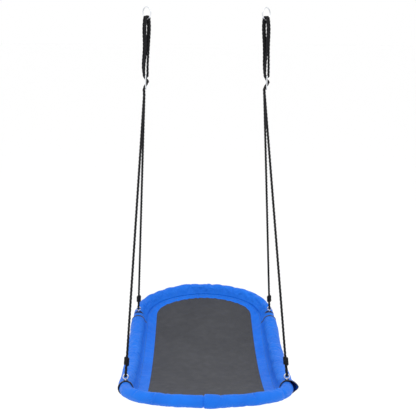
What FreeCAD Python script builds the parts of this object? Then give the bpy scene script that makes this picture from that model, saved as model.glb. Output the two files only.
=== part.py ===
"""Oval platform swing: padded steel frame with a fabric deck, hung by rope legs from two rings.

Frame: X across the swing, Y along it, +Z up. The origin is midway between the two points where
the top rings rest on their hooks, so everything hangs below it. All lengths are in millimetres.
"""

import FreeCAD, Part
import math
import os

Vector = FreeCAD.Vector
SIDES = {"left": -1, "right": 1}
ENDS = {"front": -1, "back": 1}

# ---------------------------------------------------------------- driving dimensions

# Hanging points and rope
RING_SPACING = 555.0  # between the two top rings
RING_WIRE = 6.0
RING_INNER_RADIUS = 24.0
ROPE = 10.7  # rope diameter
ADJUSTER_DROP = 341.0  # from the hanging line to the adjuster's middle bar
ADJUSTER_BAR = 5.5  # rod that the adjuster is made of
ADJUSTER_LEAN = 8.0  # each adjuster hangs this far outside its ring, where its legs pull it
BAR_PITCH = 32.0  # between the adjuster's bars
ADJUSTER_RAIL = 20.5  # from the adjuster's middle to the middle of each side rail
ADJUSTER_CORNER = 8.0  # bend radius of its corners
SEAT_DROP = 1745.0  # from the hanging line to the lowest point of the side tubes' centre line

# Frame, all on the tubes' centre line
HALF_WIDTH = 368.0
EYE_STATION = 455.0  # how far from the middle the curved side ends, where the eyes stand
TILT = math.radians(14.0)  # how steeply the two ends rise
CORNER_RADIUS = 252.0
END_RADIUS = 470.0
TUBE_RADIUS = 14.0
TUBE_WALL = 1.5

# Padding and cover
SIDE_FOAM_RADIUS = 36.5
END_FOAM_RADIUS = 27.0
CLOTH = 1.2  # cover cloth, as thick as it lies with its lining
DECK_DROP = 20.0  # top of the blue base cloth below the tubes' centre line
DECK_THICKNESS = 2.5
PANEL_THICKNESS = 1.5
PANEL_HALF_WIDTH = 268.0
PANEL_CORNER_RADIUS = 130.0
PANEL_END_RADIUS = 370.0
PANEL_BORDER = 72.0  # blue cloth between the end tube's centre line and the grey panel
HEM_WIDTH = 10.0  # black binding on the hems
HEM_THICKNESS = 1.0

# Hardware on the frame
EYE_HEIGHT = 50.0  # eye's centre above the tube's centre line
EYE_RADIUS = 11.0  # centre line of the eye
EYE_ROD = 6.0
SHANK_RADIUS = 4.0
SHANK_PAST_NUT = 1.5
COLLAR_RADIUS = 8.0
COLLAR_HEIGHT = 3.0
WASHER_RADIUS = 10.0
WASHER_CROWN = 2.0  # how far a saddle washer stands off the tube
NUT_ACROSS_FLATS = 13.0
NUT_HEIGHT = 8.0
KNOT_RADIUS = 13.0
KNOT_GROOVE = 3.0
KNOT_WRAPS = 4
KNOT_LENGTH = 45.0
KNOT_CLEARANCE = 36.0  # from the eye's top rod to the underside of the knot

# Joints between the tubes
JOINT_SPACE = 30.0  # the side tube stops this far short of the eye, which the end tube carries
SPIGOT_LENGTH = 130.0
SPIGOT_WALL = 2.0
SCREW_RADIUS = 2.4
SCREW_DEPTH = 6.0  # how far a screw's point reaches in from the tube's face
SCREW_HEAD_RADIUS = 4.8
SCREW_HEAD_HEIGHT = 3.0
CORNER_SCREW = 45.0  # from the eye back along the side to the corner joint's screw
END_SCREW = 30.0  # from the end's middle to each of its joint's screws

# Openings in the cover that the eyes stand in
NOTCH_RADIUS = 17.0  # in the side sleeves' front hems
EYE_HOLE_RADIUS = 15.0  # in the end sleeves
EYE_HOLE_BINDING = 3.0
OPENING_HEIGHT = 60.0  # well above the cover

GAP = 0.1  # between soft pieces that touch
RUNNING = 0.3  # between the rope and the metal that it goes round

# ---------------------------------------------------------------- worked out from them

ROPE_RADIUS = ROPE / 2
BASE_Z = -SEAT_DROP
SIDE_RADIUS = EYE_STATION / math.sin(TILT)
SIDE_HALF = SIDE_RADIUS * TILT  # length of the side's curve from its middle to an eye
RISE = SIDE_RADIUS * (1 - math.cos(TILT))
CORNER_TURN = math.acos((HALF_WIDTH - CORNER_RADIUS) / (END_RADIUS - CORNER_RADIUS))
CORNER_LENGTH = CORNER_RADIUS * CORNER_TURN
END_CENTRE = -(END_RADIUS - CORNER_RADIUS) * math.sin(CORNER_TURN)
END_HALF = END_RADIUS * (math.pi / 2 - CORNER_TURN)
SIDE_SLEEVE_RADIUS = SIDE_FOAM_RADIUS + GAP + CLOTH
END_SLEEVE_RADIUS = END_FOAM_RADIUS + GAP + CLOTH
SIDE_FOAM_HALF = SIDE_HALF - 66.0
END_SLEEVE_START = SIDE_HALF - 58.0
EYE_CLEARANCE = 24.0  # bare tube each side of an eye, where the foam stops
FRONT_HEM = 14.0  # how far the side sleeve reaches past the front eye
BACK_HEM = -46.0  # and how far it stops short of the back eye

# The rope's route at the rings and adjusters
RING_TURN = 45.0  # each ring's plane, from the line through both rings
SADDLE_HALF_PITCH = 6.0  # the two saddles lie side by side on the ring
SADDLE_ROOM = 1.4  # the ring's wire curves up under each saddle, so it lies a little further out
SADDLE_RADIUS = RING_WIRE / 2 + ROPE_RADIUS + SADDLE_ROOM
WEAVE_RADIUS = ADJUSTER_BAR / 2 + ROPE_RADIUS + RUNNING
WEAVE_OFFSET = 12.0  # the legs pass the adjuster each side of the bight
BELLY_LEVEL = -95.0  # stiff rope stands away from itself below the ring, most of all here
BELLY = 15.0  # and this far from the ring's plane
GATHER_LEVEL = -185.0  # the four strands lie together here
GATHER_OFFSET = 8.5
SPREAD_LEVEL = -265.0  # and have spread to their places at the adjuster here
SPREAD_OUT = 6.0  # but the one between the legs' strands stands off this much further
STRAND_END = 10.0  # above the top bar: where the strands end and the legs begin
LEG_START = -ADJUSTER_DROP - BAR_PITCH - 24.0  # where a leg turns towards its eye
STANDING_OFFSET = 4.0  # from the eye's middle, towards the middle of the seat
TAIL_OFFSET = 7.0  # and of the tail, the other way
TAIL_GAP = 1.3  # the tail's square end stops this far under the knot
KNOT_EXIT = 5.0  # the rope comes straight out of the knot for this far
LEG_BEND = 60.0  # and then bends towards the eye with this radius
EASY_BEND = 0.45  # share of the shorter run that a bend with no given radius takes up
SHORTEST_RUN = 0.001  # arcs closer than this meet with no straight run between them

parts = {}  # node name -> list of shapes


def add(node, *shapes):
    """Puts solids in a node; a node that is named again gets more solids."""
    parts.setdefault(node, []).extend(shapes)


# ---------------------------------------------------------------- the frame's centre line


def side_point(side, angle):
    """A point of a side's curve, by its angle from the lowest point; positive is towards the back."""
    return Vector(
        side * HALF_WIDTH, SIDE_RADIUS * math.sin(angle), BASE_Z + SIDE_RADIUS * (1 - math.cos(angle))
    )


def rising(side, end, across, along):
    """A point in the plane that rises towards one end of the seat, from the eyes' station outwards."""
    return Vector(
        side * across,
        end * (EYE_STATION + along * math.cos(TILT)),
        BASE_Z + RISE + along * math.sin(TILT),
    )


def arc(point, start, stop):
    """The arc through three points of a curve that is given by an angle."""
    return Part.Arc(point(start), point((start + stop) / 2), point(stop)).toShape()


def side_run(side, start, stop):
    """The side's curve between two lengths along it from its middle."""
    return arc(lambda a: side_point(side, a), start / SIDE_RADIUS, stop / SIDE_RADIUS)


def corner_run(side, end, start, stop, inset=0.0):
    """The corner's curve between two lengths along it from the eye."""

    def point(a):
        radius = CORNER_RADIUS - inset
        across = HALF_WIDTH - CORNER_RADIUS + radius * math.cos(a)
        return rising(side, end, across, radius * math.sin(a))

    return arc(point, start / CORNER_RADIUS, stop / CORNER_RADIUS)


def end_run(side, end, start, stop):
    """The end's wide curve between two lengths along it from the corner on the given side."""

    def point(a):
        return rising(side, end, END_RADIUS * math.cos(a), END_CENTRE + END_RADIUS * math.sin(a))

    return arc(point, CORNER_TURN + start / END_RADIUS, CORNER_TURN + stop / END_RADIUS)


# ---------------------------------------------------------------- swept shapes


def tube(edges, outer, inner=0.0):
    """A round tube, or a rod where no inner radius is given, along joined arcs and lines."""
    first = edges[0]
    start = first.valueAt(first.FirstParameter)
    heading = first.tangentAt(first.FirstParameter)
    rings = [Part.Wire(Part.Circle(start, heading, outer).toShape())]
    if inner:
        rings.append(Part.Wire(Part.Circle(start, heading, inner).toShape()))
    face = Part.makeFace(rings, "Part::FaceMakerBullseye")
    return Part.Wire(edges).makePipe(face).Solids[0]


def pin(centre, direction, radius, start, stop):
    """A cylinder on an axis, between two distances from a centre."""
    return Part.makeCylinder(radius, stop - start, centre + direction * start, direction)


def cut(shape, *tools):
    """What is left of a shape without the tools; always one solid."""
    for tool in tools:
        shape = shape.cut(tool)
    return shape.Solids[0]


# ---------------------------------------------------------------- steel tubes and their joints


def eye_axis(end):
    """The direction of an eye's shank: square to the tube, so it leans in along the rope's pull."""
    return Vector(0, -end * math.sin(TILT), math.cos(TILT))


def eye_foot(side, end):
    """Where an eye's shank crosses the tube's centre line."""
    return rising(side, end, HALF_WIDTH, 0.0)


def screw_places(side, end):
    """Centre and direction of the screws of one quarter: at the corner joint and at the end joint."""
    corner_joint = side_point(side, end * (SIDE_HALF - CORNER_SCREW) / SIDE_RADIUS)
    turn = math.pi / 2 - END_SCREW / END_RADIUS
    end_centre = rising(side, end, 0, END_CENTRE)
    end_joint = rising(
        side, end, END_RADIUS * math.cos(turn), END_CENTRE + END_RADIUS * math.sin(turn)
    )
    return [(corner_joint, Vector(side, 0, 0)), (end_joint, (end_joint - end_centre).normalize())]


def screws(side, end):
    """A pan-headed screw through the outer wall of each joint of one quarter of the frame."""
    made = []
    for centre, direction in screw_places(side, end):
        under_head = TUBE_RADIUS + RUNNING
        top = TUBE_RADIUS + SCREW_HEAD_HEIGHT
        shank = pin(centre, direction, SCREW_RADIUS, TUBE_RADIUS - SCREW_DEPTH, top)
        head = pin(centre, direction, SCREW_HEAD_RADIUS, under_head, top)
        made.append(shank.fuse(head).removeSplitter().Solids[0])
    return made


def drill(side, end):
    """The holes of one quarter, which the eye's shank and the two screws go through."""
    foot = eye_foot(side, end)
    holes = [pin(foot, eye_axis(end), SHANK_RADIUS + GAP, -EYE_HEIGHT, EYE_HEIGHT)]
    for centre, direction in screw_places(side, end):
        holes.append(pin(centre, direction, SCREW_RADIUS + GAP, 0, 2 * TUBE_RADIUS))
    return holes


def frame_tubes():
    """Two side tubes, four end tubes, and the spigots inside their joints."""
    joint = SIDE_HALF - JOINT_SPACE
    inner = TUBE_RADIUS - TUBE_WALL
    half_spigot = SPIGOT_LENGTH / 2
    for side_name, side in SIDES.items():
        holes = drill(side, -1) + drill(side, 1)
        side_tube = tube([side_run(side, -joint, joint)], TUBE_RADIUS, inner)
        add(f"side_tube_{side_name}", cut(side_tube, *holes))
        for end_name, end in ENDS.items():
            holes = drill(side, end)
            place = f"{end_name}_{side_name}"
            quarter = [
                side_run(side, end * (joint + GAP), end * SIDE_HALF),
                corner_run(side, end, 0, CORNER_LENGTH),
                end_run(side, end, 0, END_HALF - GAP / 2),
            ]
            add(f"end_tube_{place}", cut(tube(quarter, TUBE_RADIUS, inner), *holes))
            spigot = [
                side_run(side, end * (joint - half_spigot), end * SIDE_HALF),
                corner_run(side, end, 0, half_spigot),
            ]
            spigot = tube(spigot, inner - GAP, inner - GAP - SPIGOT_WALL)
            add(f"corner_spigot_{place}", cut(spigot, *holes))
            add("joint_screws", *screws(side, end))
    for end_name, end in ENDS.items():
        run = end_run(1, end, END_HALF - half_spigot, END_HALF + half_spigot)
        holes = drill(-1, end) + drill(1, end)
        spigot = tube([run], inner - GAP, inner - GAP - SPIGOT_WALL)
        add(f"end_spigot_{end_name}", cut(spigot, *holes))


# ---------------------------------------------------------------- eye bolts


def saddle_washer(foot, axis, tube_heading):
    """A washer whose one face fits the tube; its axis points away from the tube."""
    crown = TUBE_RADIUS + WASHER_CROWN
    washer = pin(foot, axis, WASHER_RADIUS, TUBE_RADIUS / 2, crown)
    bore = pin(foot, axis, SHANK_RADIUS + GAP, 0, 2 * crown)
    seat = pin(foot, tube_heading, TUBE_RADIUS + GAP, -2 * WASHER_RADIUS, 2 * WASHER_RADIUS)
    return cut(washer, bore, seat)


def lock_nut(foot, axis, face):
    """A hexagon nut under the tube, on the shank's axis, from the washer's face downwards."""
    sideways = Vector(1, 0, 0)
    along = axis.cross(sideways).normalize()
    corner = NUT_ACROSS_FLATS / math.sqrt(3)
    points = []
    for step in range(7):
        a = math.radians(60 * step)
        points.append(foot - axis * face + (along * math.cos(a) + sideways * math.sin(a)) * corner)
    nut = Part.Face(Part.makePolygon(points)).extrude(axis * -NUT_HEIGHT)
    return cut(nut, pin(foot, axis, SHANK_RADIUS + GAP, -face - 2 * NUT_HEIGHT, 0))


def eye_bolts():
    """Forged eyes on long shanks through the corner joints, with saddle washers and lock nuts."""
    nut_face = TUBE_RADIUS + WASHER_CROWN + GAP
    for side_name, side in SIDES.items():
        for end_name, end in ENDS.items():
            foot = eye_foot(side, end)
            axis = eye_axis(end)
            tube_heading = Vector(0, math.cos(TILT), end * math.sin(TILT))
            eye = Part.makeTorus(EYE_RADIUS, EYE_ROD / 2, foot + axis * EYE_HEIGHT, tube_heading)
            shank_foot = -nut_face - NUT_HEIGHT - SHANK_PAST_NUT
            shank = pin(foot, axis, SHANK_RADIUS, shank_foot, EYE_HEIGHT - EYE_RADIUS)
            collar = pin(foot, axis, COLLAR_RADIUS, nut_face, nut_face + COLLAR_HEIGHT)
            bolt = eye.fuse(shank).fuse(collar).Solids[0]
            add(f"eye_bolt_{end_name}_{side_name}", bolt)
            add("eye_washers_upper", saddle_washer(foot, axis, tube_heading))
            add("eye_washers_lower", saddle_washer(foot, axis * -1, tube_heading))
            add("eye_nuts", lock_nut(foot, axis, nut_face))


# ---------------------------------------------------------------- foam, sleeves and hems


def foam_sleeves():
    """Closed-cell foam round the tubes; it stops short of the eyes."""
    bore = TUBE_RADIUS + GAP
    for side_name, side in SIDES.items():
        run = side_run(side, -SIDE_FOAM_HALF, SIDE_FOAM_HALF)
        add(f"foam_side_{side_name}", tube([run], SIDE_FOAM_RADIUS, bore))
        for end_name, end in ENDS.items():
            run = [
                corner_run(side, end, EYE_CLEARANCE, CORNER_LENGTH),
                end_run(side, end, 0, END_HALF - GAP),
            ]
            heads = []
            for centre, direction in screw_places(side, end):
                top = TUBE_RADIUS + SCREW_HEAD_HEIGHT + RUNNING
                heads.append(pin(centre, direction, SCREW_HEAD_RADIUS + RUNNING, 0, top))
            foam = tube(run, END_FOAM_RADIUS, bore)
            add(f"foam_end_{end_name}_{side_name}", cut(foam, *heads))


def reverse(edge):
    """The same arc, run the other way."""
    first = edge.valueAt(edge.LastParameter)
    middle = edge.valueAt((edge.FirstParameter + edge.LastParameter) / 2)
    return Part.Arc(first, middle, edge.valueAt(edge.FirstParameter)).toShape()


def side_sleeve_run(side, spare=0.0):
    """The side's centre line from past the front eye to short of the back eye."""
    return [
        reverse(corner_run(side, -1, 0, FRONT_HEM + spare)),
        side_run(side, -SIDE_HALF, SIDE_HALF + BACK_HEM + spare),
    ]


def end_sleeve_run(end):
    """The centre line round one end, from inside one side sleeve to inside the other."""
    return [
        side_run(1, end * END_SLEEVE_START, end * SIDE_HALF),
        corner_run(1, end, 0, CORNER_LENGTH),
        end_run(1, end, 0, 2 * END_HALF),
        reverse(corner_run(-1, end, 0, CORNER_LENGTH)),
        reverse(side_run(-1, end * END_SLEEVE_START, end * SIDE_HALF)),
    ]


def eye_opening(side, end, radius):
    """The space of a hole in the top of the cover that an eye's shank stands in."""
    return pin(eye_foot(side, end), eye_axis(end), radius, 0, OPENING_HEIGHT)


def sleeves():
    """Cloth sleeves round the foam, with bound hems; the eyes come through holes in them."""
    back = SIDE_HALF + BACK_HEM
    inner = SIDE_FOAM_RADIUS + GAP
    binding = SIDE_SLEEVE_RADIUS + GAP
    for side_name, side in SIDES.items():
        notch = eye_opening(side, -1, NOTCH_RADIUS)
        sleeve = tube(side_sleeve_run(side), SIDE_SLEEVE_RADIUS, inner)
        add(f"side_sleeve_{side_name}", cut(sleeve, notch))
        front_hem = corner_run(side, -1, FRONT_HEM - HEM_WIDTH, FRONT_HEM)
        back_hem = side_run(side, back - HEM_WIDTH, back)
        for hem in (front_hem, back_hem):
            ring = tube([hem], binding + HEM_THICKNESS, binding)
            add(f"hem_bindings_{side_name}", cut(ring, notch))
    outer = END_SLEEVE_RADIUS
    for end_name, end in ENDS.items():
        sleeve = tube(end_sleeve_run(end), outer, outer - CLOTH)
        holes = [eye_opening(side, end, EYE_HOLE_RADIUS) for side in SIDES.values()]
        add(f"end_sleeve_{end_name}", cut(sleeve, *holes))
        for side, hole in zip(SIDES.values(), holes):
            bound = EYE_HOLE_RADIUS + EYE_HOLE_BINDING
            over = tube([corner_run(side, end, 0, bound)], outer + GAP + HEM_THICKNESS, outer + GAP)
            add("eye_hole_bindings", cut(over.common(eye_opening(side, end, bound)), hole))


# ---------------------------------------------------------------- deck


def plan_wire(half_width, corner_radius, end_radius, reach, end, drop):
    """Outline of one end of the deck, in the rising plane, closed across the eyes' station.

    reach is how far the outline goes past the eyes' station, and drop lowers the plane.
    """
    turn = math.acos((half_width - corner_radius) / (end_radius - corner_radius))
    centre = reach - end_radius
    corner_along = centre + (end_radius - corner_radius) * math.sin(turn)
    lower = eye_axis(end) * -drop

    def corner(side):
        return lambda a: lower + rising(
            side, end, half_width - corner_radius + corner_radius * math.cos(a),
            corner_along + corner_radius * math.sin(a),
        )

    def wide(a):
        return lower + rising(1, end, end_radius * math.cos(a), centre + end_radius * math.sin(a))

    near = [lower + rising(side, end, half_width, 0) for side in (-1, 1)]
    edges = [
        Part.LineSegment(near[0], near[1]).toShape(),
        arc(corner(1), 0, turn),
        arc(wide, turn, math.pi - turn),
        arc(corner(-1), turn, 0),
    ]
    if corner_along > GAP:
        edges.insert(1, Part.LineSegment(near[1], corner(1)(0)).toShape())
        edges.append(Part.LineSegment(corner(-1)(0), near[0]).toShape())
    return Part.Wire(edges)


def sheet(half_width, corner_radius, end_radius, reach, top, thickness):
    """A cloth that follows the seat's curve: a bent middle and a flat, rising piece at each end."""
    profile = []
    for radius in (SIDE_RADIUS + top, SIDE_RADIUS + top + thickness):

        def point(a, radius=radius):
            level = BASE_Z + SIDE_RADIUS - radius * math.cos(a)
            return Vector(-half_width, radius * math.sin(a), level)

        profile.append(arc(point, -TILT, TILT))
    ends = []
    for which in (profile[0].FirstParameter, profile[0].LastParameter):
        ends.append(Part.LineSegment(profile[0].valueAt(which), profile[1].valueAt(which)).toShape())
    face = Part.Face(Part.Wire(Part.__sortEdges__(profile + ends)))
    whole = face.extrude(Vector(2 * half_width, 0, 0))
    for end in ENDS.values():
        outline = plan_wire(half_width, corner_radius, end_radius, reach, end, top)
        whole = whole.fuse(Part.Face(outline).extrude(eye_axis(end) * -thickness))
    return whole.removeSplitter().Solids[0]


def deck():
    """The blue base cloth, sewn to the sleeves all round, and the grey panel on top of it."""
    reach = END_CENTRE + END_RADIUS
    base = sheet(HALF_WIDTH, CORNER_RADIUS, END_RADIUS, reach, DECK_DROP, DECK_THICKNESS)
    cutters = []
    for side in SIDES.values():
        room = SIDE_SLEEVE_RADIUS + HEM_THICKNESS + 2 * GAP
        cutters.append(tube(side_sleeve_run(side, 4 * GAP), room))
    for end in ENDS.values():
        cutters.append(tube(end_sleeve_run(end), END_SLEEVE_RADIUS + 2 * GAP))
    for cutter in cutters:
        base = base.cut(cutter)
    add("deck_base", max(base.Solids, key=lambda solid: solid.Volume))
    panel = sheet(
        PANEL_HALF_WIDTH, PANEL_CORNER_RADIUS, PANEL_END_RADIUS, reach - PANEL_BORDER,
        DECK_DROP - GAP - PANEL_THICKNESS, PANEL_THICKNESS,
    )
    add("deck_panel", panel)


# ---------------------------------------------------------------- hangers: ring, rope and adjuster


def ring_place(side):
    """Where a ring hangs: its plane is turned so that its inner side is further forward."""
    turn = FreeCAD.Rotation(Vector(0, 0, 1), side * RING_TURN)
    return FreeCAD.Placement(Vector(side * RING_SPACING / 2, 0, 0), turn)


def adjuster_place(side):
    """Where an adjuster hangs: its bars run from front to back, its own +Y side faces -X."""
    turn = FreeCAD.Rotation(Vector(0, 0, 1), 90.0)
    return FreeCAD.Placement(Vector(side * (RING_SPACING / 2 + ADJUSTER_LEAN), 0, 0), turn)


def rope_path(points, arcs):
    """Straight runs through the points, with each corner rounded to the radius given for it.

    A corner that has no radius given gets an easy bend that uses most of half the shorter run.
    Prints each radius.
    """
    edges = []
    here = points[0]
    for index in range(1, len(points) - 1):
        before = (points[index] - points[index - 1]).normalize()
        after = (points[index + 1] - points[index]).normalize()
        turn = before.getAngle(after)
        shorter = min(
            (points[index] - points[index - 1]).Length, (points[index + 1] - points[index]).Length
        )
        radius = arcs.get(index) or EASY_BEND * shorter / math.tan(turn / 2)
        reach = radius * math.tan(turn / 2)
        start = points[index] - before * reach
        stop = points[index] + after * reach
        inwards = (after - before).normalize()
        middle = points[index] + inwards * (radius / math.cos(turn / 2) - radius)
        if (start - here).Length > SHORTEST_RUN:
            edges.append(Part.LineSegment(here, start).toShape())
        edges.append(Part.Arc(start, middle, stop).toShape())
        here = stop
        print(f"  bend {index}: {math.degrees(turn):5.1f} degrees, radius {radius:6.1f} mm")
    edges.append(Part.LineSegment(here, points[-1]).toShape())
    return edges


def rope(node, edges):
    """A rope's tube; its volume is compared with its section times its length."""
    solid = tube(edges, ROPE_RADIUS)
    length = sum(edge.Length for edge in edges)
    expected = math.pi * ROPE_RADIUS**2 * length
    print(f"{node}: {length:.0f} mm, volume over section times length {solid.Volume / expected:.5f}")
    add(node, solid)


def top_rope_points(side, ring_level):
    """The upper rope's corners, from the front leg's top over the ring, round the adjuster's top
    bar, over the ring again and down to the back leg's top.
    """
    ring, plate = ring_place(side), adjuster_place(side)
    bar = -ADJUSTER_DROP + BAR_PITCH
    turn_level = bar - WEAVE_RADIUS
    cut_level = bar + STRAND_END

    def under_ring(across, off, level):
        lean = ADJUSTER_LEAN * (ring_level - level) / (ring_level + ADJUSTER_DROP)
        return ring.multVec(Vector(across, off, level)) + Vector(side * lean, 0, 0)

    def loop(across):
        """Up one side of the ring, over it and down the other side."""
        return [
            under_ring(across, -GATHER_OFFSET, GATHER_LEVEL),
            under_ring(across, -BELLY, BELLY_LEVEL),
            under_ring(across, -SADDLE_RADIUS, ring_level),
            under_ring(across, SADDLE_RADIUS, ring_level),
            under_ring(across, BELLY, BELLY_LEVEL),
            under_ring(across, GATHER_OFFSET, GATHER_LEVEL),
        ]

    def at_plate(across, off, level):
        return plate.multVec(Vector(across, off, level))

    def beside(off):
        """The bight's strand at its place beside the adjuster, further off between the legs."""
        return at_plate(0, off + (SPREAD_OUT if off > 0 else 0), SPREAD_LEVEL)

    weave = WEAVE_RADIUS
    return [
        at_plate(-WEAVE_OFFSET, weave, cut_level),
        at_plate(-WEAVE_OFFSET, weave, SPREAD_LEVEL),
        *loop(-side * SADDLE_HALF_PITCH),
        beside(side * weave),
        at_plate(0, side * weave, turn_level),
        at_plate(0, -side * weave, turn_level),
        beside(-side * weave),
        *loop(side * SADDLE_HALF_PITCH),
        at_plate(WEAVE_OFFSET, weave, SPREAD_LEVEL),
        at_plate(WEAVE_OFFSET, weave, cut_level),
    ]


def hangers():
    """Each side's ring, the rope's four strands between ring and adjuster, and the adjuster."""
    ring_radius = RING_INNER_RADIUS + RING_WIRE / 2
    wire_centre = -RING_INNER_RADIUS - ring_radius
    saddle = wire_centre + ring_radius - math.sqrt(ring_radius**2 - SADDLE_HALF_PITCH**2)
    tight = {index: SADDLE_RADIUS for index in (4, 5, 14, 15)}
    tight.update({index: WEAVE_RADIUS for index in (9, 10)})
    for side_name, side in SIDES.items():
        ring = Part.makeTorus(
            ring_radius, RING_WIRE / 2, Vector(0, 0, -RING_INNER_RADIUS), Vector(0, 1, 0)
        )
        add(f"top_ring_{side_name}", ring.transformed(ring_place(side).toMatrix()))
        points = top_rope_points(side, saddle + SADDLE_RADIUS)
        rope(f"rope_top_{side_name}", rope_path(points, tight))
        add(f"adjuster_{side_name}", adjuster().transformed(adjuster_place(side).toMatrix()))


def adjuster():
    """Three crossbars between two side rails, bent and welded from round bar."""
    radius = ADJUSTER_BAR / 2
    middle = -ADJUSTER_DROP
    bend = ADJUSTER_CORNER
    corners = []
    for across, up in ((-1, -1), (1, -1), (1, 1), (-1, 1)):
        corners.append((across * ADJUSTER_RAIL, middle + up * BAR_PITCH, across, up))
    edges = []
    for x, z, across, up in corners:
        centre = Vector(x - across * bend, 0, z - up * bend)
        diagonal = math.atan2(up, across)

        def point(a, centre=centre):
            return centre + Vector(bend * math.cos(a), 0, bend * math.sin(a))

        edges.append(arc(point, diagonal - math.pi / 4, diagonal + math.pi / 4))
    frame = []
    for index, edge in enumerate(edges):
        following = edges[(index + 1) % 4]
        frame.append(edge)
        end = edge.valueAt(edge.LastParameter)
        frame.append(Part.LineSegment(end, following.valueAt(following.FirstParameter)).toShape())
    hoop = tube(frame, radius)
    bar = Part.makeCylinder(
        radius, 2 * ADJUSTER_RAIL, Vector(-ADJUSTER_RAIL, 0, middle), Vector(1, 0, 0)
    )
    return hoop.fuse(bar).removeSplitter().Solids[0]


# ---------------------------------------------------------------- rope legs and knots


def weave(end):
    """A leg's corners in the adjuster's own axes, and where it turns to its eye.

    It passes the top and the lower bar on one side and the middle bar on the other.
    """
    lean = math.asin(2 * WEAVE_RADIUS / BAR_PITCH)
    rise = BAR_PITCH / 2 - WEAVE_RADIUS * math.tan(lean / 2)
    across = end * WEAVE_OFFSET
    near, far = WEAVE_RADIUS, -WEAVE_RADIUS
    upper_window = -ADJUSTER_DROP + BAR_PITCH / 2
    lower_window = -ADJUSTER_DROP - BAR_PITCH / 2
    return [
        Vector(across, near, -ADJUSTER_DROP + BAR_PITCH + STRAND_END),
        Vector(across, near, upper_window + rise),
        Vector(across, far, upper_window - rise),
        Vector(across, far, lower_window + rise),
        Vector(across, near, lower_window - rise),
        Vector(across, near, LEG_START),
    ]


def round_rod(beside, above, radius):
    """How far out a line crosses the rod's lower tangent, when it comes from a point beside and
    above the rod's middle and just touches the circle of the given radius round it.
    """
    distance = math.hypot(beside, above)
    heading = math.atan2(-above, -beside) + math.asin(radius / distance)
    return beside - (above + radius) / math.tan(heading)


def legs():
    """Each leg: through the adjuster, down through its knot, round the eye and up into the knot."""
    round_eye = EYE_ROD / 2 + ROPE_RADIUS + RUNNING
    inner_corner = round_rod(STANDING_OFFSET, KNOT_CLEARANCE - KNOT_EXIT, round_eye)
    outer_corner = round_rod(TAIL_OFFSET, KNOT_CLEARANCE, round_eye)
    tight = {index: WEAVE_RADIUS for index in (1, 2, 3, 4)}
    tight.update({6: LEG_BEND, 7: round_eye, 8: round_eye})
    for side_name, side in SIDES.items():
        place = adjuster_place(side)
        for end_name, end in ENDS.items():
            points = [place.multVec(point) for point in weave(end)]
            top_rod = eye_foot(side, end) + eye_axis(end) * (EYE_HEIGHT + EYE_RADIUS)
            up = (points[-1] - top_rod).normalize()
            outwards = up.cross(Vector(1, 0, 0)).normalize() * end
            standing = top_rod - outwards * STANDING_OFFSET
            tail = top_rod + outwards * TAIL_OFFSET
            points += [
                standing + up * (KNOT_CLEARANCE - KNOT_EXIT),
                top_rod - outwards * inner_corner - up * round_eye,
                top_rod + outwards * outer_corner - up * round_eye,
                tail + up * (KNOT_CLEARANCE - TAIL_GAP),
            ]
            rope(f"rope_leg_{end_name}_{side_name}", rope_path(points, tight))
            turn, knot_foot = points[5], points[6]
            leg_line = (turn - knot_foot).normalize()
            add(f"knot_{end_name}_{side_name}", knot(standing, tail, up, knot_foot, leg_line))


def knot(standing, tail, up, bore_foot, bore_line):
    """A barrel knot's outline over its wraps, with the bore that the leg runs through."""
    pitch = KNOT_LENGTH / KNOT_WRAPS
    groove = KNOT_RADIUS - KNOT_GROOVE
    foot = Vector(0, 0, 0)
    top = Vector(0, 0, KNOT_LENGTH)
    edges = [Part.LineSegment(foot, Vector(groove, 0, 0)).toShape()]
    for wrap in range(KNOT_WRAPS):
        low = wrap * pitch
        crown = Vector(KNOT_RADIUS, 0, low + pitch / 2)
        wrapped = Part.Arc(Vector(groove, 0, low), crown, Vector(groove, 0, low + pitch))
        edges.append(wrapped.toShape())
    edges.append(Part.LineSegment(Vector(groove, 0, KNOT_LENGTH), top).toShape())
    edges.append(Part.LineSegment(top, foot).toShape())
    barrel = Part.Face(Part.Wire(edges)).revolve(foot, Vector(0, 0, 1), 360)
    middle = (standing + tail) * 0.5 + up * KNOT_CLEARANCE
    turn = FreeCAD.Rotation(Vector(0, 0, 1), up)
    barrel = barrel.transformed(FreeCAD.Placement(middle, turn).toMatrix())
    bore = pin(bore_foot, bore_line, ROPE_RADIUS + GAP, 0, 2 * KNOT_LENGTH)
    return cut(barrel, bore)


# ---------------------------------------------------------------- write every node

frame_tubes()
eye_bolts()
foam_sleeves()
sleeves()
deck()
hangers()
legs()

os.makedirs("parts", exist_ok=True)
for node, shapes in parts.items():
    shape = shapes[0] if len(shapes) == 1 else Part.makeCompound(shapes)
    if not shape.isValid():
        print("not valid:", node)
    shape.exportStep(f"parts/{node}.step")
print(len(parts), "nodes")
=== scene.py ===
"""Looks of an oval platform swing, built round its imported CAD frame. Metres, in the CAD frame."""

from math import acos, atan2, cos, exp, hypot, pi, radians, sin, sqrt

import bmesh
import bpy
import numpy as np
from mathutils import Matrix, Vector, noise
from numpy.linalg import norm


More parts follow.
